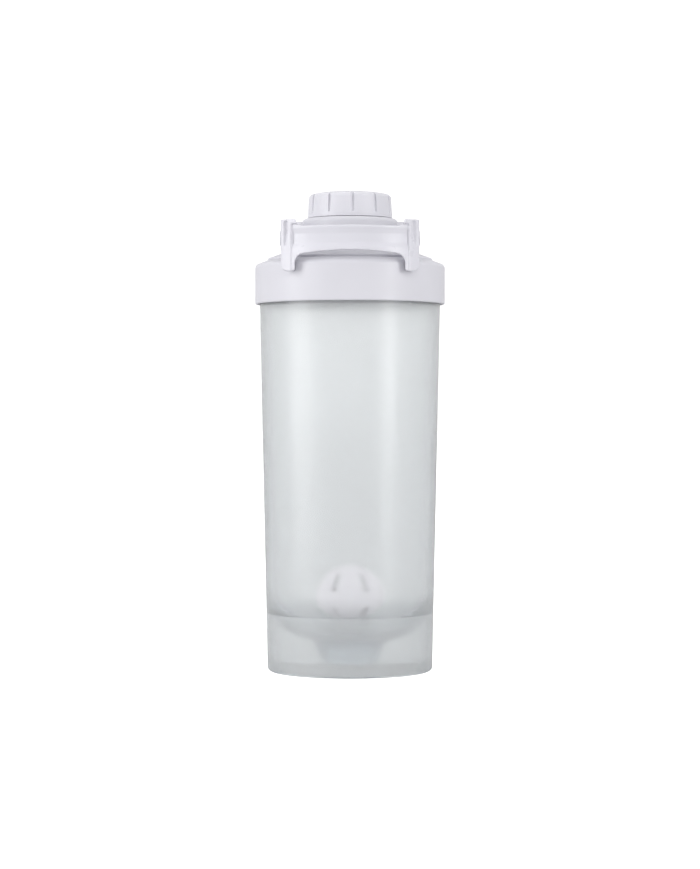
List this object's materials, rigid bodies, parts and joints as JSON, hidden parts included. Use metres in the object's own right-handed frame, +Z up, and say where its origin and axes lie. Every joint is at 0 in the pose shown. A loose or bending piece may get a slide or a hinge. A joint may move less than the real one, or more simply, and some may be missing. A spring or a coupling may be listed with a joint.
{
  "type": "protein shaker bottle",
  "caption": "Tapered translucent shaker bottle with a threaded white lid, swinging carry handle, fluted screw cap on the spout and a loose slotted mixing ball inside.",
  "frame": {"origin": "centre of the base, at the level of the foot ring", "axes": "+Z up along the bottle's axis, -Y to the front, where the handle lies folded, +X to the right seen from the front"},
  "size_m": [0.089, 0.0926, 0.225],
  "materials": {
    "cup_frosted": "frosted translucent polypropylene",
    "lid_white": "satin moulded polypropylene, white with a slight lavender tint",
    "cap_white": "satin moulded polypropylene",
    "handle_white": "semi-gloss moulded plastic",
    "pin_white": "semi-gloss moulded plastic",
    "seal_silicone": "translucent white silicone",
    "ball_white": "satin moulded plastic"
  },
  "bodies": {
    "cup_body": {"cup": "cup_frosted"},
    "lid_seal": {"lid_gasket": "seal_silicone"},
    "lid": {"lid_collar": "lid_white", "lid_dome": "lid_white", "hinge_pin_left": "pin_white", "hinge_pin_right": "pin_white"},
    "cap_seal": {"spout_cap_liner": "seal_silicone"},
    "cap": {"spout_cap": "cap_white"},
    "carry_handle": {"handle": "handle_white"},
    "ball": {"mixing_ball_upper": "ball_white", "mixing_ball_lower": "ball_white"}
  },
  "joints": [
    {"name": "lid_rise", "type": "slide", "parent": "cup_body", "child": "lid_seal", "axis": [0, 0, 1], "range_m": [0, 0.0091]},
    {"name": "lid_turn", "type": "hinge", "parent": "lid_seal", "child": "lid", "pos_m": [0, 0, 0.18], "axis": [0, 0, 1], "range_deg": [0, 540]},
    {"name": "cap_rise", "type": "slide", "parent": "lid", "child": "cap_seal", "axis": [0, 0, 1], "range_m": [0, 0.0061]},
    {"name": "cap_turn", "type": "hinge", "parent": "cap_seal", "child": "cap", "pos_m": [0, 0, 0.216], "axis": [0, 0, 1], "range_deg": [0, 540]},
    {"name": "handle_swing", "type": "hinge", "parent": "lid", "child": "carry_handle", "pos_m": [0, 0, 0.203], "axis": [-1, 0, 0], "range_deg": [0, 180]},
    {"name": "ball_lift", "type": "slide", "parent": "cup_body", "child": "ball", "axis": [0, 0, 1], "range_m": [0, 0.15]}
  ],
  "couplings": [
    {"joint": "lid_rise", "follows": "lid_turn", "m_per_rad": 0.00095493},
    {"joint": "cap_rise", "follows": "cap_turn", "m_per_rad": 0.00063662}
  ]
}
